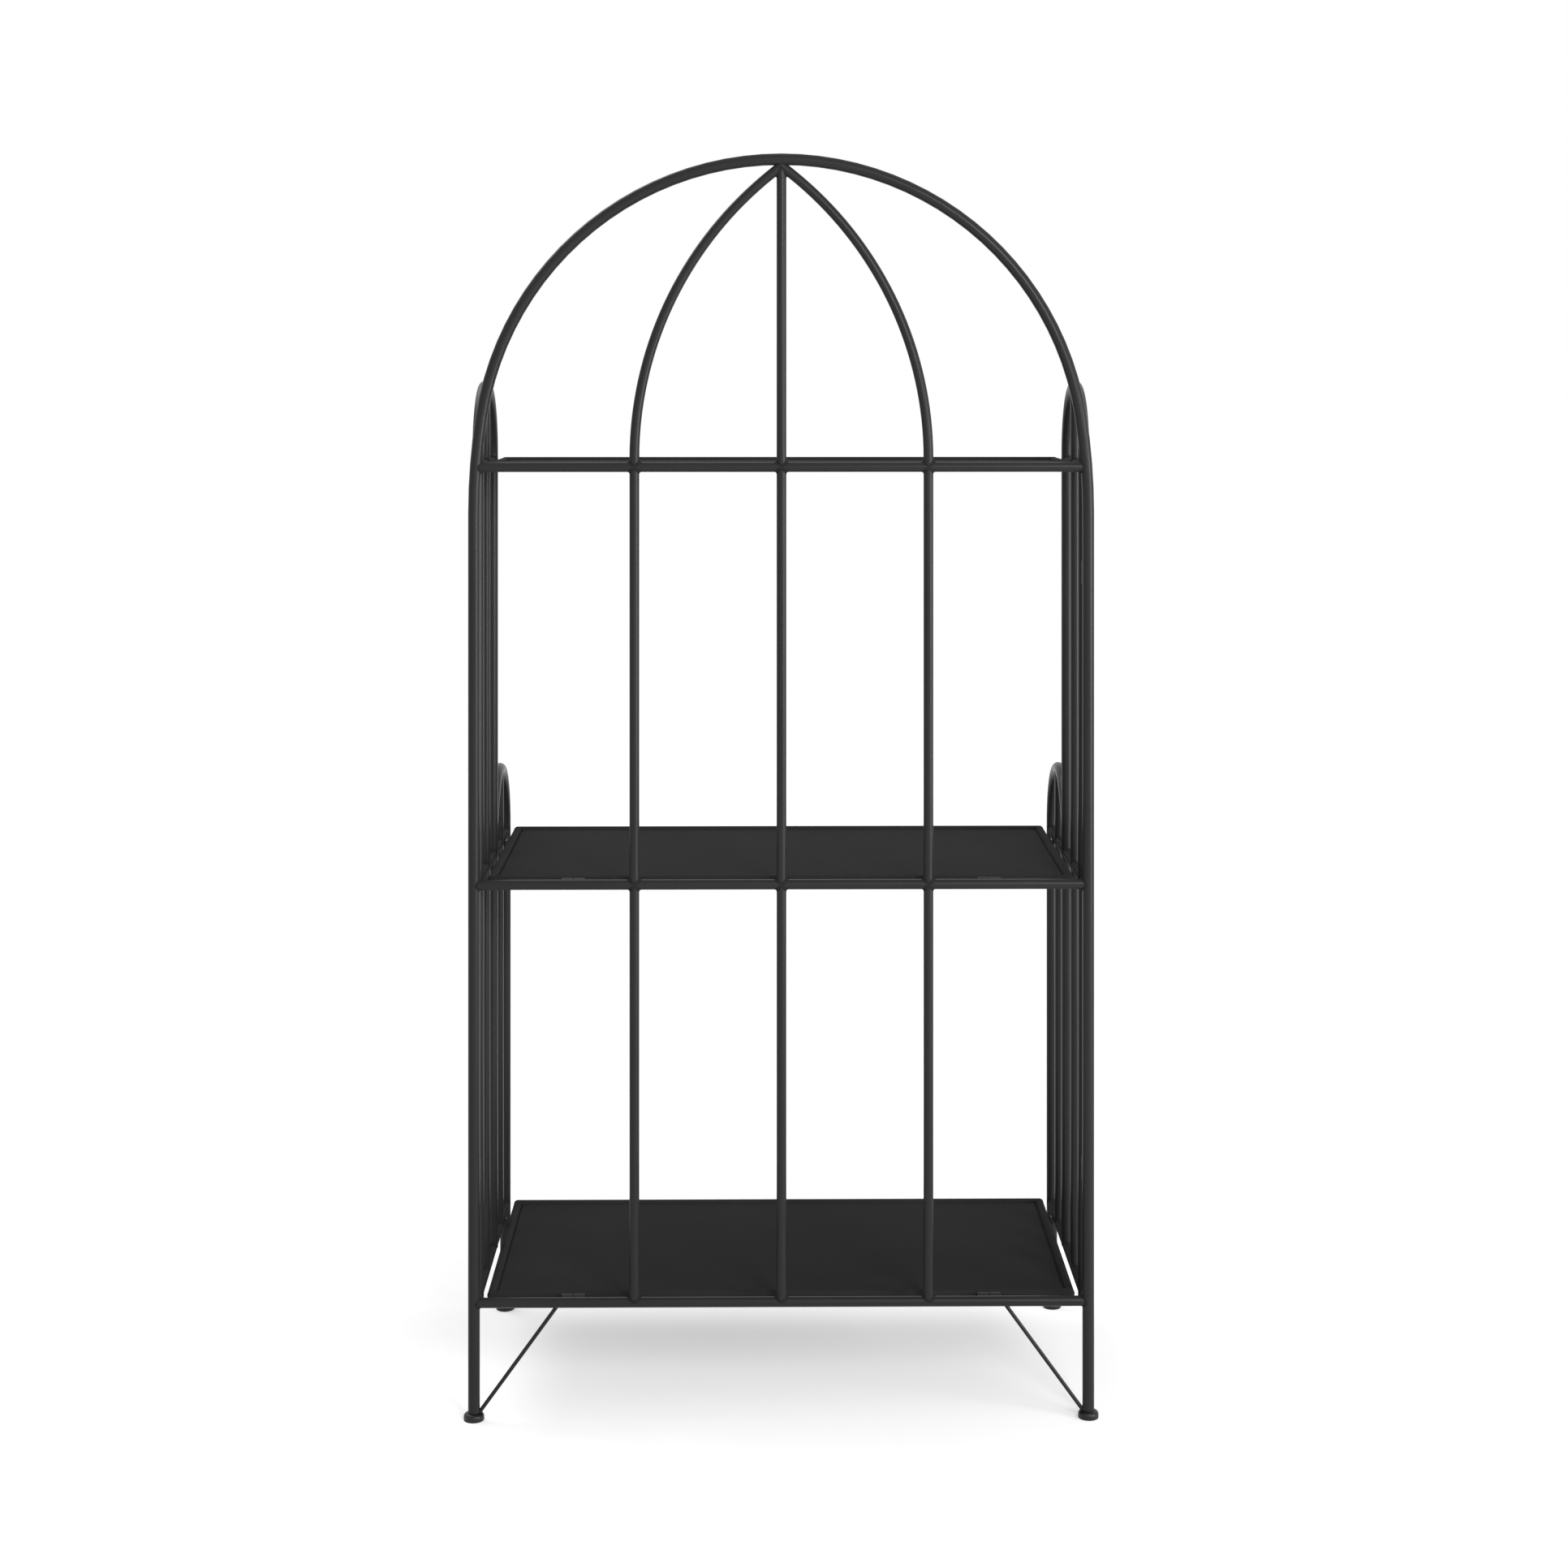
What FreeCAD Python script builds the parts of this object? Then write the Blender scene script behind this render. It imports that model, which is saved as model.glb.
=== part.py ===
"""Arched plant shelf: a welded back panel, two stepped side panels and three shelves that hinge up.

Millimetres, +Z up, origin on the floor at the middle of the footprint.
-Y is the open front, +Y is the arched back panel, -X is the left side seen from the front.
"""
import os

import FreeCAD
import Part
from FreeCAD import Placement, Rotation, Vector

doc = FreeCAD.newDocument("plant_shelf")

# Driving dimensions, one cell each

SIZES = {
    # overall frame
    "overall_height": 1606.2,
    "leg_spacing": 780.0,
    "frame_depth": 395.0,
    "upper_depth": 213.0,
    "bottom_rail_height": 148.0,
    "side_inset": 2.0,
    # round stock
    "leg_diameter": 15.0,
    "rail_diameter": 12.8,
    "bar_diameter": 12.5,
    "gothic_diameter": 12.7,
    "brace_diameter": 5.0,
    "shelf_tube_diameter": 12.0,
    "shelf_side_diameter": 11.6,
    # back panel
    "arch_lift": 5.7,
    "crown_flare": 5.0,
    "shoulder_drop": 64.0,
    "outer_bay": 203.3,
    "gothic_drop": 8.65,
    "gothic_spring": 10.5,
    "brace_reach": 108.5,
    "brace_root": 6.0,
    # side panels
    "side_arch_spring": 10.5,
    "arch_weld_angle": 20.0,
    # feet
    "foot_diameter": 26.0,
    "foot_height": 9.3,
    "foot_sole": 3.0,
    "foot_shoulder": 4.6,
    "foot_edge": 0.8,
    "socket_clearance": 0.05,
    # shelves
    "shelf_inset": 18.0,
    "tube_end_flat": 0.3,
    "sheet_thickness": 1.2,
    "panel_sink": 3.8,
    "panel_rise": 1.6,
    "panel_groove": 1.5,
    "panel_clearance": 0.1,
    "panel_edge": 0.8,
    # barrel hinges
    "hinge_diameter": 12.0,
    "hinge_lug": 1.5,
    "hinge_lug_height": 6.0,
    "hinge_inset": 125.0,
    "knuckle_length": 14.4,
    "knuckle_gap": 0.8,
    "pin_diameter": 4.0,
    "pin_clearance": 0.05,
    "side_hinge_inset": 150.0,
    # tabs that carry the front of each shelf
    "rest_width": 20.0,
    "rest_thickness": 3.0,
    "rest_setback": 45.0,
    "rest_overlap": 8.0,
    "rest_clearance": 0.3,
}

sheet = doc.addObject("Spreadsheet::Sheet", "sizes")
for row, (alias, value) in enumerate(SIZES.items(), start=1):
    sheet.set(f"A{row}", alias)
    sheet.set(f"B{row}", str(value))
    sheet.setAlias(f"B{row}", alias)
doc.recompute()

# Places worked out from the driving dimensions, as expressions

HALF_LEGS = "sizes.leg_spacing / 2"
BACK_Y = "sizes.frame_depth / 2"
FRONT_Y = "-sizes.frame_depth / 2"
UPPER_Y = f"({BACK_Y} - sizes.upper_depth)"
SIDE_X = f"({HALF_LEGS} - sizes.side_inset)"
POST_REACH = "(sizes.leg_diameter + 2 * sizes.hinge_lug + sizes.hinge_diameter)"
POST_Y = f"({BACK_Y} - {POST_REACH})"
BAR_BACK_Y = f"(({POST_Y} + {UPPER_Y}) / 2)"
BAR_FRONT_Y = f"(({UPPER_Y} + {FRONT_Y}) / 2)"
CROWN_RADIUS = f"({HALF_LEGS} - sizes.crown_flare)"
CROWN_Z = f"(sizes.overall_height - sizes.leg_diameter / 2 - {CROWN_RADIUS})"
TIER_HEIGHT = f"(({CROWN_Z} - sizes.arch_lift - sizes.bottom_rail_height) / 2)"
RAIL_Z = [f"(sizes.bottom_rail_height + {tier} * {TIER_HEIGHT})" for tier in range(3)]
SHOULDER_Z = f"({CROWN_Z} - sizes.shoulder_drop)"
SHOULDER_ANGLE = "(2 * atan(sizes.crown_flare / sizes.shoulder_drop))"
SHOULDER_RADIUS = f"({CROWN_RADIUS} + sizes.shoulder_drop / sin({SHOULDER_ANGLE}))"
BAR_PITCH = f"({HALF_LEGS} - sizes.outer_bay)"
GOTHIC_Z = f"({RAIL_Z[2]} + sizes.gothic_spring)"
GOTHIC_RISE = f"(sizes.overall_height - sizes.leg_diameter / 2 - sizes.gothic_drop - {GOTHIC_Z})"
GOTHIC_RADIUS = f"(({GOTHIC_RISE} ^ 2 + {BAR_PITCH} ^ 2) / (2 * {BAR_PITCH}))"
GOTHIC_OFFSET = f"({GOTHIC_RADIUS} - {BAR_PITCH})"
UPPER_ARCH_RADIUS = f"(({POST_Y} - {UPPER_Y}) / 2)"
LOWER_ARCH_RADIUS = f"(({UPPER_Y} - {FRONT_Y}) / 2)"
UPPER_SPRING_Z = f"({RAIL_Z[2]} + sizes.side_arch_spring)"
LOWER_SPRING_Z = f"({RAIL_Z[1]} + sizes.side_arch_spring)"
HINGE_Y = f"({BACK_Y} - sizes.rail_diameter / 2 - sizes.hinge_lug - sizes.hinge_diameter / 2)"
NEAR_Y = f"({HINGE_Y} - sizes.hinge_diameter / 2 - sizes.hinge_lug - sizes.shelf_tube_diameter / 2)"
SHELF_HALF_WIDTH = f"({SIDE_X} - sizes.shelf_inset)"
SHELF_FRONT_Y = [FRONT_Y, FRONT_Y, UPPER_Y]
TIERS = ["bottom", "middle", "top"]
SIDES = {"left": -1, "right": 1}

# Directions for rods and bends

ALONG = {
    "x": Rotation(Vector(0, 1, 0), 90),
    "y": Rotation(Vector(1, 0, 0), -90),
    "z": Rotation(),
}
EAST = Vector(1, 0, 0)
SOUTH = Vector(0, -1, 0)
UP = Vector(0, 0, 1)
BEYOND = "30"
TOLERANCE = 1e-6

subparts = {}


def place(thing, start, turn):
    """Turns a shape and ties its position to the sheet."""
    thing.Placement = Placement(Vector(), turn)
    for axis, expression in zip("xyz", start):
        thing.setExpression(f"Placement.Base.{axis}", expression)


def rod(name, diameter, start, length, along):
    """A round bar that runs from start along +x, +y or +z."""
    bar = doc.addObject("Part::Cylinder", name)
    bar.setExpression("Radius", f"{diameter} / 2")
    bar.setExpression("Height", length)
    place(bar, start, ALONG[along])
    return bar


def bend(name, diameter, radius, centre, angle, outward, onward):
    """A bent bar: from the outward side of centre it curves towards onward."""
    tube = doc.addObject("Part::Torus", name)
    tube.setExpression("Radius1", radius)
    tube.setExpression("Radius2", f"{diameter} / 2")
    tube.setExpression("Angle3", angle)
    place(tube, centre, Rotation(outward, onward, outward.cross(onward), "XYZ"))
    return tube


def block(name, corner, size):
    """A box from its lowest corner."""
    box = doc.addObject("Part::Box", name)
    for side, expression in zip(("Length", "Width", "Height"), size):
        box.setExpression(side, expression)
    place(box, corner, Rotation())
    return box


def join(name, pieces):
    """Pieces welded or bent from one length, as one solid."""
    whole = doc.addObject("Part::MultiFuse", name)
    whole.Shapes = pieces
    return whole


def group(name, pieces):
    """Separate solids kept together."""
    bundle = doc.addObject("Part::Compound", name)
    bundle.Links = pieces
    return bundle


def trim(name, blank, tools):
    """A blank coped round the pieces that it meets."""
    piece = doc.addObject("Part::Cut", name)
    piece.Base = blank
    piece.Tool = tools[0] if len(tools) == 1 else group(f"{name}_tools", tools)
    return piece


def at_top(edge, box):
    return edge.BoundBox.ZMin > box.ZMax - TOLERANCE


def at_bottom(edge, box):
    return edge.BoundBox.ZMax < box.ZMin + TOLERANCE


def soften(name, solid, rounds):
    """Rounds edges of a solid made at the origin: each round is a radius and a test for its edges."""
    body = doc.addObject("PartDesign::Body", name)
    body.BaseFeature = solid
    doc.recompute()
    base = body.Group[0]
    for radius, chosen in rounds:
        box = base.Shape.BoundBox
        edges = [f"Edge{index}" for index, edge in enumerate(base.Shape.Edges, start=1) if chosen(edge, box)]
        fillet = body.newObject("PartDesign::Fillet", f"{name}_round")
        fillet.Base = (base, edges)
        fillet.setExpression("Radius", radius)
        doc.recompute()
        base = fillet
    body.Tip = base
    return body


def keep(label, thing):
    """Names a finished sub-part."""
    thing.Label = label
    subparts[label] = thing
    return thing


# Back panel: one bent tube makes both legs and the arch


def make_back_arch():
    stock = "sizes.leg_diameter"
    pieces = []
    for side, sign in SIDES.items():
        outward = EAST * sign
        x = f"{sign} * {HALF_LEGS}"
        leg_length = f"{SHOULDER_Z} - sizes.foot_sole"
        pieces.append(rod(f"back_leg_{side}", stock, (x, BACK_Y, "sizes.foot_sole"), leg_length, "z"))
        centre = (f"{sign} * ({HALF_LEGS} - {SHOULDER_RADIUS})", BACK_Y, SHOULDER_Z)
        pieces.append(bend(f"shoulder_{side}", stock, SHOULDER_RADIUS, centre, SHOULDER_ANGLE, outward, UP))
        quarter = f"90 deg - {SHOULDER_ANGLE}"
        crown_centre = ("0", BACK_Y, CROWN_Z)
        pieces.append(bend(f"crown_{side}", stock, CROWN_RADIUS, crown_centre, quarter, UP, outward))
    return keep("back_arch_tube", join("back_arch", pieces))


def make_back_rails(arch):
    rails = []
    for tier, z in zip(TIERS, RAIL_Z):
        start = (f"-{HALF_LEGS}", BACK_Y, z)
        blank = rod(f"back_rail_{tier}_blank", "sizes.rail_diameter", start, "sizes.leg_spacing", "x")
        keep(f"back_rail_{tier}", trim(f"back_rail_{tier}", blank, [arch]))
        rails.append(blank)
    return rails


def make_back_bars(rails):
    places = {"left": f"-{BAR_PITCH}", "centre": "0", "right": BAR_PITCH}
    for tier, level in enumerate(("lower", "upper")):
        for where, x in places.items():
            name = f"back_bar_{level}_{where}"
            start = (x, BACK_Y, RAIL_Z[tier])
            blank = rod(f"{name}_blank", "sizes.bar_diameter", start, TIER_HEIGHT, "z")
            keep(name, trim(name, blank, rails[tier:tier + 2]))


def make_gothic_arch(arch, top_rail):
    """Two bars that curve in from the top rail and meet under the crown, with the centre bar below them."""
    stock = "sizes.gothic_diameter"
    sweep = f"acos({GOTHIC_OFFSET} / {GOTHIC_RADIUS}) + 2 deg"
    apex = f"({GOTHIC_Z} + {GOTHIC_RISE})"
    blanks = []
    for side, sign in SIDES.items():
        start = (f"{sign} * {BAR_PITCH}", BACK_Y, RAIL_Z[2])
        stub = rod(f"gothic_stub_{side}", stock, start, "sizes.gothic_spring", "z")
        centre = (f"-{sign} * {GOTHIC_OFFSET}", BACK_Y, GOTHIC_Z)
        curve = bend(f"gothic_curve_{side}", stock, GOTHIC_RADIUS, centre, sweep, EAST * sign, UP)
        blank = join(f"gothic_blank_{side}", [stub, curve])
        edge = f"-{BEYOND}" if sign > 0 else "0"
        corner = (edge, f"{BACK_Y} - {BEYOND}", f"{apex} - {BEYOND}")
        mitre = block(f"gothic_mitre_{side}", corner, (BEYOND, f"2 * {BEYOND}", f"2 * {BEYOND}"))
        keep(f"gothic_bar_{side}", trim(f"gothic_bar_{side}", blank, [mitre, arch, top_rail]))
        blanks.append(blank)
    start = ("0", BACK_Y, RAIL_Z[2])
    length = f"sizes.gothic_spring + {GOTHIC_RISE}"
    centre_bar = rod("crown_bar_blank", "sizes.bar_diameter", start, length, "z")
    keep("back_bar_crown_centre", trim("crown_bar", centre_bar, [join("gothic_pair", blanks), top_rail]))


# Feet: round glides that cap the four legs


def make_feet():
    spots = {
        "back": (HALF_LEGS, BACK_Y),
        "front": (SIDE_X, FRONT_Y),
    }
    feet = {}
    for end, (x, y) in spots.items():
        for side, sign in SIDES.items():
            name = f"foot_{end}_{side}"
            base = (f"{sign} * {x}", y, "0")
            disc = rod(f"{name}_disc", "sizes.foot_diameter", ("0", "0", "0"), "sizes.foot_height", "z")
            rounds = [("sizes.foot_shoulder", at_top), ("sizes.foot_edge", at_bottom)]
            shell = soften(f"{name}_shell", disc, rounds)
            place(shell, base, ALONG["z"])
            floor = (base[0], base[1], "sizes.foot_sole")
            hole = "(sizes.leg_diameter + 2 * sizes.socket_clearance)"
            socket = rod(f"{name}_socket", hole, floor, "sizes.foot_height", "z")
            keep(name, trim(name, shell, [socket]))
            feet[end, side] = shell
    return feet


def make_braces(arch, bottom_rail, feet):
    """Thin rods from the foot of each back leg up to the bottom rail, each begun inside its leg."""
    root = f"(sizes.brace_root / {RAIL_Z[0]})"
    for side, sign in SIDES.items():
        name = f"back_brace_{side}"
        blank = doc.addObject("Part::Cylinder", f"{name}_blank")
        blank.setExpression("Radius", "sizes.brace_diameter / 2")
        blank.setExpression("Height", f"sqrt(sizes.brace_reach ^ 2 + {RAIL_Z[0]} ^ 2) * (1 - {root})")
        root_x = f"{sign} * ({HALF_LEGS} - sizes.brace_reach * {root})"
        place(blank, (root_x, BACK_Y, "sizes.brace_root"), Rotation(SOUTH * sign, 1))
        blank.setExpression("Placement.Rotation.Angle", f"atan(sizes.brace_reach / {RAIL_Z[0]})")
        keep(name, trim(name, blank, [arch, bottom_rail, feet["back", side]]))


# Side panels: a tall back post with its arch, a lower arch with the front leg, rails and bars


def make_side_panel(side, sign):
    x = f"{sign} * {SIDE_X}"
    stock = "sizes.leg_diameter"
    post_foot = f"({RAIL_Z[0]} - sizes.rail_diameter / 2)"
    post = rod(f"post_{side}", stock, (x, POST_Y, post_foot), f"{UPPER_SPRING_Z} - {post_foot}", "z")
    upper_centre = (x, f"({POST_Y} + {UPPER_Y}) / 2", UPPER_SPRING_Z)
    upper_curve = bend(f"upper_curve_{side}", stock, UPPER_ARCH_RADIUS, upper_centre, "180 deg", SOUTH, UP)
    drop = rod(f"upper_drop_{side}", stock, (x, UPPER_Y, RAIL_Z[2]), "sizes.side_arch_spring", "z")
    leg_length = f"{LOWER_SPRING_Z} - sizes.foot_sole"
    leg = rod(f"front_leg_blank_{side}", stock, (x, FRONT_Y, "sizes.foot_sole"), leg_length, "z")
    lower_centre = (x, BAR_FRONT_Y, LOWER_SPRING_Z)
    lower_sweep = "180 - sizes.arch_weld_angle"
    lower_curve = bend(f"lower_curve_{side}", stock, LOWER_ARCH_RADIUS, lower_centre, lower_sweep, SOUTH, UP)
    front_blank = join(f"front_arch_{side}", [leg, lower_curve])
    posts = [
        rod(f"mid_post_{tier}_{side}", stock, (x, UPPER_Y, RAIL_Z[tier]), TIER_HEIGHT, "z")
        for tier in range(2)
    ]
    keep(f"front_leg_{side}", trim(f"front_leg_{side}", front_blank, [posts[1]]))

    full = f"{POST_Y} - ({FRONT_Y})"
    rails = [
        rod(f"side_rail_{tier}_{side}_blank", "sizes.rail_diameter", (x, FRONT_Y, z), full, "y")
        for tier, z in zip(TIERS[:2], RAIL_Z)
    ]
    top_start = f"{UPPER_Y} - {stock} / 2"
    top_length = f"{POST_Y} - ({top_start})"
    rails.append(
        rod(f"side_rail_top_{side}_blank", "sizes.rail_diameter", (x, top_start, RAIL_Z[2]), top_length, "y")
    )
    for tier, rail in zip(TIERS, rails):
        ends = [post] if tier == "top" else [post, leg]
        keep(f"side_rail_{tier}_{side}", trim(f"side_rail_{tier}_{side}", rail, ends))

    coped_drop = trim(f"upper_drop_coped_{side}", drop, [rails[2]])
    keep(f"side_post_{side}", join(f"side_post_{side}", [post, upper_curve, coped_drop]))
    for tier, level in enumerate(("lower", "upper")):
        name = f"mid_post_{level}_{side}"
        keep(name, trim(name, posts[tier], rails[tier:tier + 2]))

    bars = {
        "side_bar_back_lower": (BAR_BACK_Y, RAIL_Z[0], TIER_HEIGHT, rails[0:2]),
        "side_bar_back_upper": (BAR_BACK_Y, RAIL_Z[1], TIER_HEIGHT, rails[1:3]),
        "side_bar_back_crown": (
            BAR_BACK_Y,
            RAIL_Z[2],
            f"sizes.side_arch_spring + {UPPER_ARCH_RADIUS}",
            [rails[2], upper_curve],
        ),
        "side_bar_front_lower": (BAR_FRONT_Y, RAIL_Z[0], TIER_HEIGHT, rails[0:2]),
        "side_bar_front_crown": (
            BAR_FRONT_Y,
            RAIL_Z[1],
            f"sizes.side_arch_spring + {LOWER_ARCH_RADIUS}",
            [rails[1], lower_curve],
        ),
    }
    for label, (y, z, length, ends) in bars.items():
        name = f"{label}_{side}"
        blank = rod(f"{name}_blank", "sizes.bar_diameter", (x, y, z), length, "z")
        keep(name, trim(name, blank, ends))
    return post, rails


# Shelves: a mitred tube frame round a pressed steel panel


def make_shelf_frame(tier, z, front_y):
    """Front and back tubes with rounded ends, and side tubes welded between them."""
    half_length = f"({SHELF_HALF_WIDTH} + sizes.shelf_tube_diameter / 2)"
    end_round = "(sizes.shelf_tube_diameter / 2 - sizes.tube_end_flat)"
    tubes = []
    for end, y in {"near": NEAR_Y, "front": front_y}.items():
        name = f"shelf_{end}_tube_{tier}"
        stock = "sizes.shelf_tube_diameter"
        blank = rod(f"{name}_blank", stock, ("0", "0", "0"), f"2 * {half_length}", "z")
        tube = soften(name, blank, [(end_round, at_top), (end_round, at_bottom)])
        place(tube, (f"-{half_length}", y, z), ALONG["x"])
        tubes.append(tube)
    for side, sign in SIDES.items():
        start = (f"{sign} * {SHELF_HALF_WIDTH}", front_y, z)
        length = f"{NEAR_Y} - ({front_y})"
        tubes.append(rod(f"shelf_side_tube_{tier}_{side}", "sizes.shelf_side_diameter", start, length, "y"))
    return keep(f"shelf_frame_{tier}", join(f"shelf_frame_{tier}", tubes))


def make_shelf_panel(tier, z, front_y):
    """A pressed sheet: a raised field with a lower flange round it, inside the tube frame."""
    end_margin = "(sizes.shelf_tube_diameter / 2 + sizes.panel_clearance)"
    side_margin = "(sizes.shelf_side_diameter / 2 + sizes.panel_clearance)"
    field_top = f"({z} + sizes.shelf_tube_diameter / 2 - sizes.panel_sink)"
    flange_top = f"({field_top} - sizes.panel_rise)"
    flange_low = f"({flange_top} - sizes.sheet_thickness)"

    def layer(name, inset, low, high):
        half = f"({SHELF_HALF_WIDTH} - {side_margin} - {inset})"
        start_y = f"({front_y} + {end_margin} + {inset})"
        depth = f"({NEAR_Y} - {end_margin} - {inset} - {start_y})"
        return block(f"{name}_{tier}", (f"-{half}", start_y, low), (f"2 * {half}", depth, f"{high} - {low}"))

    flange = layer("panel_flange", "0", flange_low, flange_top)
    field = layer("panel_field", "sizes.panel_groove", flange_low, field_top)
    inset = "(sizes.panel_groove + sizes.sheet_thickness)"
    hollow = layer("panel_hollow", inset, f"({flange_low} - 1)", f"({field_top} - sizes.sheet_thickness)")
    pressed = trim(f"panel_pressed_{tier}", join(f"panel_solid_{tier}", [flange, field]), [hollow])
    return keep(f"shelf_panel_{tier}", soften(f"shelf_panel_{tier}", pressed, [("sizes.panel_edge", at_top)]))


# Barrel hinges: two knuckles on one pin, each with a lug to its own tube

HINGE_LENGTH = "(2 * sizes.knuckle_length + sizes.knuckle_gap)"
KNUCKLE_STEP = "(sizes.knuckle_length + sizes.knuckle_gap)"
BORE = "(sizes.pin_diameter + 2 * sizes.pin_clearance)"


def knuckle(name, start, along, lug_corner, lug_size, tube, bore):
    barrel = rod(f"{name}_barrel", "sizes.hinge_diameter", start, "sizes.knuckle_length", along)
    lug = block(f"{name}_lug", lug_corner, lug_size)
    return trim(name, join(f"{name}_blank", [barrel, lug]), [tube, bore])


def make_shelf_hinges(tier, z, back_rail):
    """One knuckle of each hinge on the back rail and the other on the shelf's back tube."""
    near_start = (f"-{SHELF_HALF_WIDTH}", NEAR_Y, z)
    near_length = f"2 * {SHELF_HALF_WIDTH}"
    near_tube = rod(f"near_tube_{tier}", "sizes.shelf_tube_diameter", near_start, near_length, "x")
    lug_z = f"{z} - sizes.hinge_lug_height / 2"
    fixed, moving, pins = [], [], []
    for side, sign in SIDES.items():
        low_x = f"{sign} * ({HALF_LEGS} - sizes.hinge_inset) - {HINGE_LENGTH} / 2"
        high_x = f"{low_x} + {KNUCKLE_STEP}"
        outer_x, inner_x = (low_x, high_x) if sign < 0 else (high_x, low_x)
        pin = rod(f"pin_{tier}_{side}", "sizes.pin_diameter", (low_x, HINGE_Y, z), HINGE_LENGTH, "x")
        bore = rod(f"bore_{tier}_{side}", BORE, (low_x, HINGE_Y, z), HINGE_LENGTH, "x")
        reach = ("sizes.knuckle_length", f"{BACK_Y} - {HINGE_Y}", "sizes.hinge_lug_height")
        corner = (outer_x, HINGE_Y, lug_z)
        name = f"rail_knuckle_{tier}_{side}"
        fixed.append(knuckle(name, (outer_x, HINGE_Y, z), "x", corner, reach, back_rail, bore))
        reach = ("sizes.knuckle_length", f"{HINGE_Y} - {NEAR_Y}", "sizes.hinge_lug_height")
        corner = (inner_x, NEAR_Y, lug_z)
        name = f"shelf_knuckle_{tier}_{side}"
        moving.append(knuckle(name, (inner_x, HINGE_Y, z), "x", corner, reach, near_tube, bore))
        pins.append(pin)
    keep(f"rail_knuckles_{tier}", group(f"rail_knuckles_{tier}", fixed))
    keep(f"shelf_knuckles_{tier}", group(f"shelf_knuckles_{tier}", moving))
    return pins


def make_side_hinges(side, sign, leg, post):
    """Hinges between a back leg and its side panel's post: lower knuckle on the leg, upper on the post."""
    x = f"{sign} * ({HALF_LEGS} - sizes.side_inset / 2)"
    y = f"({BACK_Y} - {POST_REACH} / 2)"
    lug_x = f"{x} - sizes.hinge_lug_height / 2"
    reach = ("sizes.hinge_lug_height", f"{POST_REACH} / 2", "sizes.knuckle_length")
    knuckles, pins = [], []
    heights = {
        "low": f"({RAIL_Z[0]} + sizes.side_hinge_inset)",
        "high": f"({RAIL_Z[2]} - sizes.side_hinge_inset)",
    }
    for level, z in heights.items():
        upper_z = f"{z} + {KNUCKLE_STEP}"
        pin = rod(f"side_pin_{level}_{side}", "sizes.pin_diameter", (x, y, z), HINGE_LENGTH, "z")
        bore = rod(f"side_bore_{level}_{side}", BORE, (x, y, z), HINGE_LENGTH, "z")
        name = f"leg_knuckle_{level}_{side}"
        knuckles.append(knuckle(name, (x, y, z), "z", (lug_x, y, z), reach, leg, bore))
        name = f"post_knuckle_{level}_{side}"
        knuckles.append(knuckle(name, (x, y, upper_z), "z", (lug_x, POST_Y, upper_z), reach, post, bore))
        pins.append(pin)
    keep(f"side_hinge_knuckles_{side}", group(f"side_hinge_knuckles_{side}", knuckles))
    return pins


# Tabs under the side rails that carry the front of each shelf


def make_shelf_rests(side_rails):
    tabs = []
    for tier, (z, front_y) in enumerate(zip(RAIL_Z, SHELF_FRONT_Y)):
        top = f"({z} - sizes.shelf_side_diameter / 2 - sizes.rest_clearance)"
        low = f"({top} - sizes.rest_thickness)"
        y = f"({front_y} + sizes.rest_setback)"
        inner = f"({SHELF_HALF_WIDTH} + sizes.shelf_side_diameter / 2 - sizes.rest_overlap)"
        width = f"({SIDE_X} + sizes.rail_diameter / 2 - {inner})"
        for side, sign in SIDES.items():
            start_x = inner if sign > 0 else f"-({inner} + {width})"
            plate_size = (width, "sizes.rest_width", "sizes.rest_thickness")
            plate = block(f"rest_plate_{tier}_{side}", (start_x, y, low), plate_size)
            weld_x = f"{sign} * {SIDE_X} - sizes.rail_diameter / 2"
            weld_size = ("sizes.rail_diameter", "sizes.rest_width", f"{z} - {low} - sizes.rail_diameter / 4")
            weld = block(f"rest_weld_{tier}_{side}", (weld_x, y, low), weld_size)
            blank = join(f"rest_blank_{tier}_{side}", [plate, weld])
            tabs.append(trim(f"rest_{tier}_{side}", blank, [side_rails[side][tier]]))
    keep("shelf_rests", group("shelf_rests", tabs))


def build():
    arch = make_back_arch()
    back_rails = make_back_rails(arch)
    make_back_bars(back_rails)
    make_gothic_arch(arch, back_rails[2])
    feet = make_feet()
    make_braces(arch, back_rails[0], feet)
    side_rails, pins = {}, []
    for side, sign in SIDES.items():
        post, side_rails[side] = make_side_panel(side, sign)
        pins += make_side_hinges(side, sign, arch, post)
    for tier, z, front_y, back_rail in zip(TIERS, RAIL_Z, SHELF_FRONT_Y, back_rails):
        make_shelf_frame(tier, z, front_y)
        make_shelf_panel(tier, z, front_y)
        pins += make_shelf_hinges(tier, z, back_rail)
    keep("hinge_pins", group("hinge_pins", pins))
    make_shelf_rests(side_rails)


def check():
    """Stops on any feature that failed and on any sub-part that is empty or broken."""
    doc.recompute()
    for thing in doc.Objects:
        if {"Invalid", "Error"} & set(thing.State):
            raise RuntimeError(f"{thing.Name} failed: {thing.State}")
    for label, thing in subparts.items():
        if thing.Shape.isNull() or not thing.Shape.isValid() or not thing.Shape.Solids:
            raise RuntimeError(f"{label} has no sound solid")


def export():
    os.makedirs("parts", exist_ok=True)
    for label, thing in subparts.items():
        thing.Shape.exportStep(os.path.join("parts", f"{label}.step"))
        solids = len(thing.Shape.Solids)
        print(f"{label}: {solids} solid(s), {thing.Shape.Volume / 1000:.1f} cm3")


build()
check()
export()
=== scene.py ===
"""Looks for the arched plant shelf: powder coat, moulded feet, weld fillets, studio stage and camera."""
import math

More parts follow.
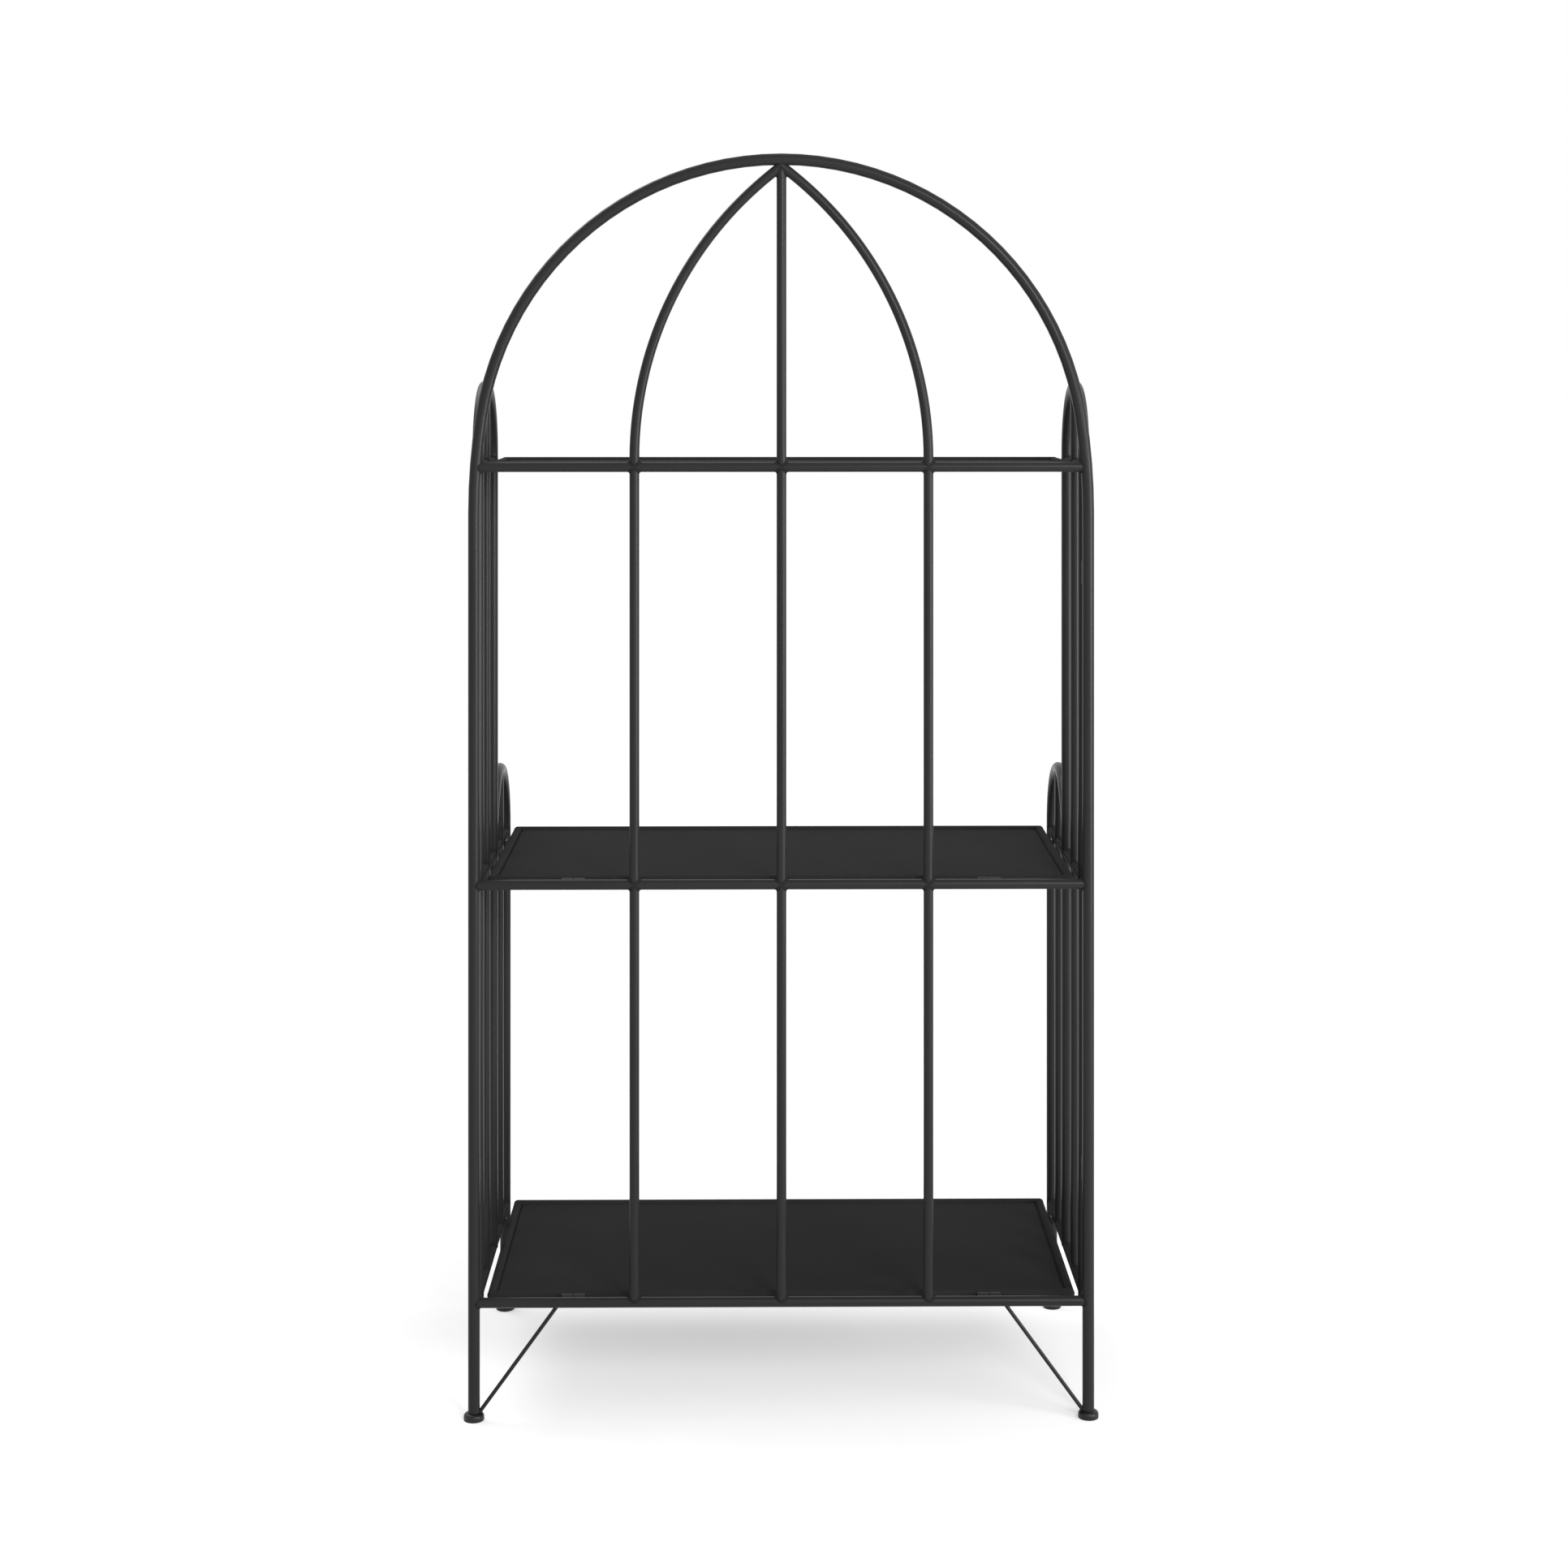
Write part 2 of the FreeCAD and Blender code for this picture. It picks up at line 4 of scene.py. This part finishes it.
import bmesh
import bpy
from bpy.props import FloatProperty, FloatVectorProperty, PointerProperty
from mathutils import Matrix, Vector


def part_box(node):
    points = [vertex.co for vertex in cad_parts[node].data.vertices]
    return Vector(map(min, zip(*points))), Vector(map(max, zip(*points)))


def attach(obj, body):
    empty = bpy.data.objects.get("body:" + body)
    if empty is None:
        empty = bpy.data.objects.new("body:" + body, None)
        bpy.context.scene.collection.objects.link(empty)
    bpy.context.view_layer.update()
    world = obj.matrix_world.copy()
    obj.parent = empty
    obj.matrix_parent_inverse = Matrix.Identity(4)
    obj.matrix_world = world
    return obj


bl_info = {
    "name": "Plant shelf looks",
    "version": (1, 0, 0),
    "blender": (4, 5, 0),
    "location": "View3D > Sidebar > Plant shelf",
    "description": "Coats, welds and lights the arched plant shelf around its packed model",
    "category": "Object",
}

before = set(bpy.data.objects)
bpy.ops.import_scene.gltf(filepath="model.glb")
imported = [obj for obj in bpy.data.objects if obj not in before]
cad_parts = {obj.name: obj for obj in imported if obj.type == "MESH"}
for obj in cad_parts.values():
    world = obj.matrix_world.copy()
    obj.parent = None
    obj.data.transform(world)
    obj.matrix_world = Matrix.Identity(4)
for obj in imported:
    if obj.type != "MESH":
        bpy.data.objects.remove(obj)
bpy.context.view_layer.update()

TIERS = ("bottom", "middle", "top")
SIDES = {"left": -1, "right": 1}
UP = Vector((0, 0, 1))
EAST = Vector((1, 0, 0))
NORTH = Vector((0, 1, 0))


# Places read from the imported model


def middle(node):
    low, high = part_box(node)
    return (low + high) / 2


def thickness(node):
    """The smallest side of a straight bar's box, which is its diameter."""
    low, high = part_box(node)
    return min(high - low)


def nodes_named(*starts):
    return [node for name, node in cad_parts.items() if name.startswith(starts)]


# Settings that a user would change


def length_setting(name, description, default):
    return FloatProperty(name=name, description=description, unit="LENGTH", default=default)


def colour_setting(name, description, default):
    return FloatVectorProperty(name=name, description=description, subtype="COLOR", default=default)


def power_setting(name, description, default):
    return FloatProperty(name=name, description=description, subtype="POWER", default=default)


def number_setting(name, description, default):
    return FloatProperty(name=name, description=description, default=default)


class PlantShelfStock(bpy.types.PropertyGroup):
    """Sizes of the round stock and its welds."""

    leg: length_setting("Leg", "Diameter of the legs and arches", thickness("mid_post_lower_left"))
    rail: length_setting("Rail", "Diameter of the rails", thickness("back_rail_bottom"))
    bar: length_setting("Bar", "Diameter of the upright bars", thickness("back_bar_lower_left"))
    gothic: length_setting("Gothic bar", "Diameter of the pointed arch", thickness("gothic_bar_left"))
    bar_weld: length_setting("Bar weld", "Leg length of the fillet round a bar", 0.0030)
    side_weld: length_setting("Side weld", "Leg length of the fillet round a side bar", 0.0018)
    rail_weld: length_setting("Rail weld", "Leg length of the fillet round a rail's end", 0.0022)
    apex_weld: length_setting("Apex weld", "Leg length of the fillet under the pointed arch", 0.0030)
    apex_drop: length_setting("Apex drop", "From the arch's top down to the pointed arch's axes", 0.01615)
    apex_slope: FloatProperty(
        name="Apex slope",
        description="Fall of the pointed arch on each side of its apex",
        subtype="ANGLE",
        default=math.radians(36.6),
    )


class PlantShelfColours(bpy.types.PropertyGroup):
    """Colours of the finishes."""

    coat: colour_setting("Coat", "Powder coat on the tubes", (0.018, 0.018, 0.0185))
    panel: colour_setting("Panel", "Powder coat on the shelves", (0.026, 0.026, 0.0266))
    foot: colour_setting("Foot", "Moulded feet", (0.006, 0.006, 0.0062))
    pin: colour_setting("Pin", "Plain steel hinge pins", (0.33, 0.33, 0.34))
    ground: colour_setting("Ground", "Studio floor", (0.80, 0.80, 0.80))


class PlantShelfStudio(bpy.types.PropertyGroup):
    """Light and camera."""

    ambient: number_setting("Ambient", "Strength of the white surround", 0.55)
    key: power_setting("Key", "Power of the side lamp", 115.0)
    top: power_setting("Top", "Power of the lamp overhead", 40.0)
    line: power_setting("Line", "Power of the small lamp by the camera", 60.0)
    # Painted white glow on the floor, lower near the shelf than far off, which deepens the shelf's shadow
    # there
    lift: number_setting("Lift", "White added to the floor near the shelf", 0.42)
    far_lift: number_setting("Far lift", "White added to the floor far off", 0.58)
    lens: number_setting("Lens", "Focal length on a 36 mm sensor, in millimetres", 60.33)
    eye: FloatVectorProperty(
        name="Eye",
        description="Place of the camera",
        subtype="TRANSLATION",
        unit="LENGTH",
        default=(0.0307, 3.5338, 1.3273),
    )
    frame_shift: number_setting("Frame shift", "Vertical lens shift of the picture", -0.2621)


# Shader maths


class Socket:
    """One output of a material's nodes; arithmetic on it adds Math nodes."""

    def __init__(self, finish, socket):
        self.finish = finish
        self.socket = socket

    def maths(self, operation, first, second):
        return self.finish.add("ShaderNodeMath", {"operation": operation}, {0: first, 1: second})

    def __add__(self, other):
        return self.maths("ADD", self, other)

    def __mul__(self, other):
        return self.maths("MULTIPLY", self, other)

    __radd__ = __add__


class Finish:
    """A material or world made of nodes."""

    def __init__(self, owner):
        self.owner = owner
        owner.use_nodes = True
        self.tree = owner.node_tree
        self.tree.nodes.clear()

    def add(self, kind, settings=None, sockets=None, output=0):
        """Adds a node, sets its settings, then its sockets, and gives back one output."""
        node = self.tree.nodes.new(kind)
        for key, value in (settings or {}).items():
            setattr(node, key, value)
        for key, value in (sockets or {}).items():
            if isinstance(value, Socket):
                self.tree.links.new(value.socket, node.inputs[key])
            else:
                node.inputs[key].default_value = value
        return Socket(self, node.outputs[output]) if node.outputs else None

    def place(self):
        return self.add("ShaderNodeTexCoord", output="Object")

    def noise(self, scale, detail=2.0, vector=None):
        sockets = {"Vector": vector or self.place(), "Scale": scale, "Detail": detail}
        return self.add("ShaderNodeTexNoise", None, sockets)

    def blend(self, factor, first, second):
        settings = {"data_type": "RGBA"}
        return self.add("ShaderNodeMix", settings, {0: factor, 6: first, 7: second}, output=2)

    def mottle(self, factor, colour, darkest, lightest):
        return self.blend(factor, tint(colour, darkest), tint(colour, lightest))

    def seen_directly(self):
        """One where the camera looks, also in a reflection or through glass, or else zero."""
        views = ("Is Camera Ray", "Is Glossy Ray", "Is Transmission Ray")
        return sum(self.add("ShaderNodeLightPath", output=view) for view in views)

    def bump(self, height, strength, distance):
        sockets = {"Height": height, "Strength": strength, "Distance": distance}
        return self.add("ShaderNodeBump", None, sockets)

    def close(self, sockets):
        """Ends a material with one surface shader and gives back the material."""
        surface = self.add("ShaderNodeBsdfPrincipled", None, sockets)
        self.add("ShaderNodeOutputMaterial", None, {"Surface": surface})
        return self.owner


def tint(colour, factor):
    return (*(min(1.0, part * factor) for part in colour), 1.0)


def new_finish(name):
    return Finish(bpy.data.materials.new(name))


# Noise scales are waves in a metre, and depths are in metres
DRIFT_SCALE = 7.0
PEBBLE_TO_GRAIN = 0.3
DRIFT_TONE = 0.55
DRIFT_SHEEN = 0.08
GRAIN_SHEEN = 0.10
GRAIN_RELIEF = 0.6
COAT_DEPTH = 0.0003


def powder_coat(name, colour, grain_scale, roughness, gloss):
    """Fine-textured powder coat: pebbled grain, slow drift of tone and slightly uneven sheen."""
    finish = new_finish(name)
    grain = finish.noise(grain_scale, detail=3.0)
    pebble = finish.noise(grain_scale * PEBBLE_TO_GRAIN, detail=1.0)
    drift = finish.noise(DRIFT_SCALE)
    tone = drift * DRIFT_TONE + grain * (1.0 - DRIFT_TONE)
    shade = finish.mottle(tone, colour, darkest=0.70, lightest=1.32)
    relief = grain * GRAIN_RELIEF + pebble * (1.0 - GRAIN_RELIEF)
    middle_sheen = (DRIFT_SHEEN + GRAIN_SHEEN) / 2
    sockets = {
        "Base Color": shade,
        "Roughness": drift * DRIFT_SHEEN + grain * GRAIN_SHEEN + (roughness - middle_sheen),
        "Specular IOR Level": gloss,
        "Normal": finish.bump(relief, strength=0.22, distance=COAT_DEPTH),
    }
    return finish.close(sockets)


SPARK_SCALE = 1600.0
FLOW_SCALE = 60.0
SPARK_SHEEN = 0.12
FLOW_SHEEN = 0.10
FOOT_ROUGHNESS = 0.30
FOOT_GLOSS = 0.32
SPARK_DEPTH = 0.0002


def moulded_plastic(name, colour):
    """Moulded foot: fine spark texture with faint flow lines."""
    finish = new_finish(name)
    spark = finish.noise(SPARK_SCALE)
    flow = finish.noise(FLOW_SCALE, detail=4.0)
    shade = finish.mottle(flow, colour, darkest=0.75, lightest=1.3)
    sockets = {
        "Base Color": shade,
        "Roughness": spark * SPARK_SHEEN + flow * FLOW_SHEEN + FOOT_ROUGHNESS,
        "Specular IOR Level": FOOT_GLOSS,
        "Normal": finish.bump(spark, strength=0.12, distance=SPARK_DEPTH),
    }
    return finish.close(sockets)


DRAWN_SCALE = (40.0, 1500.0, 1500.0)
PATCH_SCALE = 220.0
LINE_SHEEN = 0.22
PATCH_SHEEN = 0.12
PIN_ROUGHNESS = 0.18
DRAWN_DEPTH = 0.0001


def drawn_steel(name, colour):
    """Drawn pin stock: fine lines along the rod and dull patches."""
    finish = new_finish(name)
    stretched = finish.add("ShaderNodeMapping", None, {"Vector": finish.place(), "Scale": DRAWN_SCALE})
    lines = finish.noise(1.0, vector=stretched)
    patches = finish.noise(PATCH_SCALE)
    shade = finish.mottle(patches, colour, darkest=0.7, lightest=1.15)
    sockets = {
        "Base Color": shade,
        "Metallic": 1.0,
        "Roughness": lines * LINE_SHEEN + patches * PATCH_SHEEN + PIN_ROUGHNESS,
        "Normal": finish.bump(lines, strength=0.1, distance=DRAWN_DEPTH),
    }
    return finish.close(sockets)


TUBE_GRAIN = 1300.0
SHELF_GRAIN = 1500.0
KNUCKLE_GRAIN = 1700.0


def coat_nodes(nodes, material):
    for node in nodes:
        node.data.materials.clear()
        node.data.materials.append(material)


def tube_coat():
    name = "tube_powder_coat"
    colour = bpy.context.scene.plant_shelf_colours.coat
    return bpy.data.materials.get(name) or powder_coat(name, colour, TUBE_GRAIN, roughness=0.30, gloss=0.15)


def shelf_coat():
    name = "shelf_powder_coat"
    colour = bpy.context.scene.plant_shelf_colours.panel
    return bpy.data.materials.get(name) or powder_coat(name, colour, SHELF_GRAIN, roughness=0.75, gloss=0.015)


def flat_coat():
    """The flatter coat on the welds and the side rails."""
    name = "flat_powder_coat"
    colour = bpy.context.scene.plant_shelf_colours.coat
    return bpy.data.materials.get(name) or powder_coat(name, colour, TUBE_GRAIN, roughness=0.65, gloss=0.03)


# Weld fillets


FILLET_STEPS = 5
RING_STEPS = 40
SPIN_RADIUS = 10.0
MERGE_DISTANCE = 1e-6


def unit_fillet():
    """A closed ring with a concave fillet section, its two legs one unit long."""
    ring = bmesh.new()
    section = [(0.0, 0.0)]
    for step in range(FILLET_STEPS + 1):
        along = step / FILLET_STEPS
        section.append((along ** 2, (1 - along) ** 2))
    corners = [ring.verts.new((SPIN_RADIUS + out, 0.0, rise)) for out, rise in section]
    edges = [ring.edges.new((first, second)) for first, second in zip(corners, corners[1:] + corners[:1])]
    bmesh.ops.spin(
        ring,
        geom=corners + edges,
        cent=(0, 0, 0),
        axis=UP,
        angle=math.tau,
        steps=RING_STEPS,
        use_merge=True,
    )
    bmesh.ops.remove_doubles(ring, verts=ring.verts, dist=MERGE_DISTANCE)
    return ring


def add_weld(whole, bar, rail, size, origin, outward, along, slope=0.0):
    """Lays a fillet round a bar of one radius where it stands on a rail of another.

    With a slope, the rail bends at the bar and falls away to both sides of it.
    """
    ring = unit_fillet()
    for vertex in ring.verts:
        turn = math.atan2(vertex.co.y, vertex.co.x)
        out = (math.hypot(vertex.co.x, vertex.co.y) - SPIN_RADIUS) * size
        roll = math.asin(min(1.0, bar * math.sin(turn) / rail)) + out * math.sin(turn) / rail
        reach = (bar + out) * math.cos(turn)
        seat = rail * math.cos(roll) / math.cos(slope) + abs(reach) * math.tan(slope)
        vertex.co = Vector((reach, rail * math.sin(roll), seat + vertex.co.z * size))
    across = outward.cross(along)
    facing = Matrix((along, across, outward)).transposed().to_4x4()
    bmesh.ops.transform(ring, matrix=Matrix.Translation(origin) @ facing, verts=ring.verts)
    bmesh.ops.recalc_face_normals(ring, faces=ring.faces)
    piece = bpy.data.meshes.new("weld_ring")
    ring.to_mesh(piece)
    ring.free()
    whole.from_mesh(piece)
    bpy.data.meshes.remove(piece)


def place_welds(name, whole):
    mesh = bpy.data.meshes.new(name)
    for face in whole.faces:
        face.smooth = True
    whole.to_mesh(mesh)
    whole.free()
    welds = bpy.data.objects.new(name, mesh)
    bpy.context.scene.collection.objects.link(welds)
    welds.data.materials.append(flat_coat())
    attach(welds, "frame")


def leg_axis(stock, rail_end):
    """How far out the leg's axis is, from the coped end of the rail that meets it."""
    return rail_end + math.sqrt(stock.leg ** 2 - stock.rail ** 2) / 2


class PLANTSHELF_OT_weld_back_panel(bpy.types.Operator):
    """Welds the bars to the back rails, the rails to the legs and the apex of the pointed arch"""

    bl_idname = "plantshelf.weld_back_panel"
    bl_label = "Weld the back panel"

    def execute(self, context):
        stock = context.scene.plant_shelf_stock
        whole = bmesh.new()
        for tier in TIERS:
            rail = middle(f"back_rail_{tier}")
            rail_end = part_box(f"back_rail_{tier}")[1].x
            for spot in ("left", "centre", "right"):
                origin = Vector((middle(f"back_bar_lower_{spot}").x, rail.y, rail.z))
                above = stock.gothic if tier == "top" and spot != "centre" else stock.bar
                add_weld(whole, above / 2, stock.rail / 2, stock.bar_weld, origin, UP, EAST)
                if tier != "bottom":
                    add_weld(whole, stock.bar / 2, stock.rail / 2, stock.bar_weld, origin, -UP, EAST)
            for sign in SIDES.values():
                origin = Vector((sign * leg_axis(stock, rail_end), rail.y, rail.z))
                add_weld(whole, stock.rail / 2, stock.leg / 2, stock.rail_weld, origin, -sign * EAST, UP)
        arch_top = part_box("back_arch_tube")[1].z
        apex = Vector((0.0, middle("back_rail_top").y, arch_top - stock.apex_drop))
        add_weld(whole, stock.bar / 2, stock.gothic / 2, stock.apex_weld, apex, -UP, EAST, stock.apex_slope)
        place_welds("back_panel_welds", whole)
        return {"FINISHED"}


class PLANTSHELF_OT_weld_side_panels(bpy.types.Operator):
    """Welds the bars, posts and rails of both side panels"""

    bl_idname = "plantshelf.weld_side_panels"
    bl_label = "Weld the side panels"

    def weld_rail_ends(self, whole, stock, spots):
        for origin, outward in spots:
            add_weld(whole, stock.rail / 2, stock.leg / 2, stock.rail_weld, origin, outward, UP)

    def weld_bar_ends(self, whole, stock, spots):
        for origin, outward, carrier in spots:
            add_weld(whole, stock.bar / 2, carrier / 2, stock.side_weld, origin, outward, NORTH)

    def execute(self, context):
        stock = context.scene.plant_shelf_stock
        for side in SIDES:
            whole = bmesh.new()
            x = middle(f"side_rail_bottom_{side}").x
            heights = [middle(f"side_rail_{tier}_{side}").z for tier in TIERS]
            back_bar = middle(f"side_bar_back_lower_{side}").y
            front_bar = middle(f"side_bar_front_lower_{side}").y
            mid_post = middle(f"mid_post_lower_{side}").y
            back_post = 2 * back_bar - mid_post
            front_leg = middle(f"foot_front_{side}").y
            rail_ends = [(Vector((x, back_post, z)), -NORTH) for z in heights]
            rail_ends += [(Vector((x, front_leg, z)), NORTH) for z in heights[:2]]
            rail_ends += [(Vector((x, mid_post, heights[1])), way) for way in (NORTH, -NORTH)]
            rail_ends.append((Vector((x, mid_post, heights[2])), NORTH))
            self.weld_rail_ends(whole, stock, rail_ends)
            bar_ends = []
            for y, levels in ((back_bar, heights), (front_bar, heights[:2])):
                bar_ends += [(Vector((x, y, z)), UP, stock.rail) for z in levels]
                bar_ends += [(Vector((x, y, z)), -UP, stock.rail) for z in levels[1:]]
            for y, arch in ((back_bar, f"side_post_{side}"), (front_bar, f"front_leg_{side}")):
                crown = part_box(arch)[1].z - stock.leg / 2
                bar_ends.append((Vector((x, y, crown)), -UP, stock.leg))
            self.weld_bar_ends(whole, stock, bar_ends)
            place_welds(f"side_panel_welds_{side}", whole)
        return {"FINISHED"}


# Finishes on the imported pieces


class PLANTSHELF_OT_coat_tubes(bpy.types.Operator):
    """Powder coats the legs, rails, bars, posts and rests"""

    bl_idname = "plantshelf.coat_tubes"
    bl_label = "Coat the tubes"

    def execute(self, context):
        starts = ("back_", "gothic_", "front_leg", "side_", "mid_post", "shelf_rests")
        coat_nodes(nodes_named(*starts), tube_coat())
        coat_nodes(nodes_named("side_rail"), flat_coat())
        return {"FINISHED"}


class PLANTSHELF_OT_coat_shelves(bpy.types.Operator):
    """Powder coats the pressed shelf panels and their frames"""

    bl_idname = "plantshelf.coat_shelves"
    bl_label = "Coat the shelves"

    def execute(self, context):
        coat_nodes(nodes_named("shelf_panel", "shelf_frame"), shelf_coat())
        return {"FINISHED"}


class PLANTSHELF_OT_finish_hinges(bpy.types.Operator):
    """Coats the hinge knuckles and leaves their pins plain steel"""

    bl_idname = "plantshelf.finish_hinges"
    bl_label = "Finish the hinges"

    def execute(self, context):
        colours = context.scene.plant_shelf_colours
        knuckles = nodes_named("rail_knuckles", "shelf_knuckles", "side_hinge_knuckles")
        coat = powder_coat("knuckle_powder_coat", colours.coat, KNUCKLE_GRAIN, roughness=0.50, gloss=0.20)
        coat_nodes(knuckles, coat)
        coat_nodes(nodes_named("hinge_pins"), drawn_steel("drawn_pin_steel", colours.pin))
        return {"FINISHED"}


class PLANTSHELF_OT_mould_feet(bpy.types.Operator):
    """Gives the feet their moulded plastic"""

    bl_idname = "plantshelf.mould_feet"
    bl_label = "Mould the feet"

    def execute(self, context):
        colour = context.scene.plant_shelf_colours.foot
        coat_nodes(nodes_named("foot_"), moulded_plastic("foot_plastic", colour))
        return {"FINISHED"}


# Stage


# Lengths are in metres, and the sensor's width is in millimetres
FLOOR_RADIUS = 120.0
FLOOR_SIDES = 96
NEAR_FLOOR = 1.2
FAR_FLOOR = 5.0
SENSOR_WIDTH = 36.0
LOOK = Vector((-0.01016, -1.0, 0.0))
SIDE_LAMP = {"place": (-3.6, 2.4, 0.9), "target": (0.0, 0.0, 0.8), "size": 2.0}
LINE_LAMP = {"place": (-1.3, 3.3, 2.1), "target": (0.0, 0.0, 1.3), "size": 1.2}
TOP_LAMP = {"place": (1.9, -1.3, 3.6), "target": (0.0, 0.0, 0.3), "size": 2.2}


def aim(direction):
    """The turn that points a lamp or a camera along a direction, upright."""
    return direction.to_track_quat("-Z", "Y").to_euler()


class PLANTSHELF_OT_stage(bpy.types.Operator):
    """Sets the pale floor, the soft lamps and the camera"""

    bl_idname = "plantshelf.stage"
    bl_label = "Set the stage"

    def lay_floor(self, studio, colour):
        disc = bmesh.new()
        bmesh.ops.create_circle(disc, cap_ends=True, segments=FLOOR_SIDES, radius=FLOOR_RADIUS)
        mesh = bpy.data.meshes.new("studio_floor")
        disc.to_mesh(mesh)
        disc.free()
        floor = bpy.data.objects.new("studio_floor", mesh)
        bpy.context.scene.collection.objects.link(floor)
        finish = new_finish("studio_floor_paint")
        paint = finish.add("ShaderNodeBsdfDiffuse", None, {"Color": (*colour, 1.0)})
        # Painted shade on the floor: its painted white glow is weaker within NEAR_FLOOR of the shelf and
        # rises smoothly towards FAR_FLOOR. This deepens and widens the shelf's shadow near it, where the
        # lamps also light the floor.
        measure = {"operation": "LENGTH"}
        distance = finish.add("ShaderNodeVectorMath", measure, {0: finish.place()}, output="Value")
        reach = {
            "Value": distance,
            "From Min": NEAR_FLOOR,
            "From Max": FAR_FLOOR,
            "To Min": studio.lift,
            "To Max": studio.far_lift,
        }
        white = finish.add("ShaderNodeMapRange", {"interpolation_type": "SMOOTHSTEP"}, reach)
        lift = finish.add("ShaderNodeEmission", None, {"Strength": finish.seen_directly() * white})
        surface = finish.add("ShaderNodeAddShader", None, {0: paint, 1: lift})
        finish.add("ShaderNodeOutputMaterial", None, {"Surface": surface})
        mesh.materials.append(finish.owner)

    def light_world(self, studio):
        world = bpy.data.worlds.new("studio_white")
        bpy.context.scene.world = world
        finish = Finish(world)
        strength = finish.seen_directly() * (1.0 - studio.ambient) + studio.ambient
        sky = finish.add("ShaderNodeBackground", None, {"Color": (1, 1, 1, 1), "Strength": strength})
        finish.add("ShaderNodeOutputWorld", None, {"Surface": sky})

    def hang_lamp(self, name, place, target, size, power):
        lamp = bpy.data.lights.new(name, "AREA")
        lamp.shape = "DISK"
        lamp.size = size
        lamp.energy = power
        lamp_object = bpy.data.objects.new(name, lamp)
        lamp_object.location = place
        lamp_object.rotation_euler = aim(Vector(target) - Vector(place))
        bpy.context.scene.collection.objects.link(lamp_object)

    def set_camera(self, studio):
        camera = bpy.data.cameras.new("photo_camera")
        camera.sensor_width = SENSOR_WIDTH
        camera.lens = studio.lens
        camera.shift_y = studio.frame_shift
        camera_object = bpy.data.objects.new("photo_camera", camera)
        camera_object.location = studio.eye
        camera_object.rotation_euler = aim(LOOK)
        bpy.context.scene.collection.objects.link(camera_object)
        bpy.context.scene.camera = camera_object

    def execute(self, context):
        studio = context.scene.plant_shelf_studio
        self.lay_floor(studio, context.scene.plant_shelf_colours.ground)
        self.light_world(studio)
        self.hang_lamp("side_lamp", power=studio.key, **SIDE_LAMP)
        self.hang_lamp("line_lamp", power=studio.line, **LINE_LAMP)
        self.hang_lamp("top_lamp", power=studio.top, **TOP_LAMP)
        self.set_camera(studio)
        context.scene.view_settings.view_transform = "Standard"
        return {"FINISHED"}


class PLANTSHELF_PT_looks(bpy.types.Panel):
    """Lists the steps that dress the plant shelf, and their settings"""

    bl_label = "Plant shelf"
    bl_idname = "PLANTSHELF_PT_looks"
    bl_space_type = "VIEW_3D"
    bl_region_type = "UI"
    bl_category = "Plant shelf"

    def draw(self, context):
        for step in STEPS:
            self.layout.operator(step.bl_idname)
        for settings in SETTINGS:
            group = getattr(context.scene, settings)
            for name in group.bl_rna.properties.keys():
                if name not in ("rna_type", "name"):
                    self.layout.prop(group, name)


SETTINGS = {
    "plant_shelf_stock": PlantShelfStock,
    "plant_shelf_colours": PlantShelfColours,
    "plant_shelf_studio": PlantShelfStudio,
}
STEPS = (
    PLANTSHELF_OT_coat_tubes,
    PLANTSHELF_OT_coat_shelves,
    PLANTSHELF_OT_finish_hinges,
    PLANTSHELF_OT_mould_feet,
    PLANTSHELF_OT_weld_back_panel,
    PLANTSHELF_OT_weld_side_panels,
    PLANTSHELF_OT_stage,
)


def register():
    for name, settings in SETTINGS.items():
        bpy.utils.register_class(settings)
        setattr(bpy.types.Scene, name, PointerProperty(type=settings))
    for step in STEPS:
        bpy.utils.register_class(step)
    bpy.utils.register_class(PLANTSHELF_PT_looks)


def unregister():
    bpy.utils.unregister_class(PLANTSHELF_PT_looks)
    for step in reversed(STEPS):
        bpy.utils.unregister_class(step)
    for name, settings in SETTINGS.items():
        delattr(bpy.types.Scene, name)
        bpy.utils.unregister_class(settings)


def main():
    register()
    bpy.ops.plantshelf.coat_tubes()
    bpy.ops.plantshelf.coat_shelves()
    bpy.ops.plantshelf.finish_hinges()
    bpy.ops.plantshelf.mould_feet()
    bpy.ops.plantshelf.weld_back_panel()
    bpy.ops.plantshelf.weld_side_panels()
    bpy.ops.plantshelf.stage()


if __name__ == "__main__":
    main()
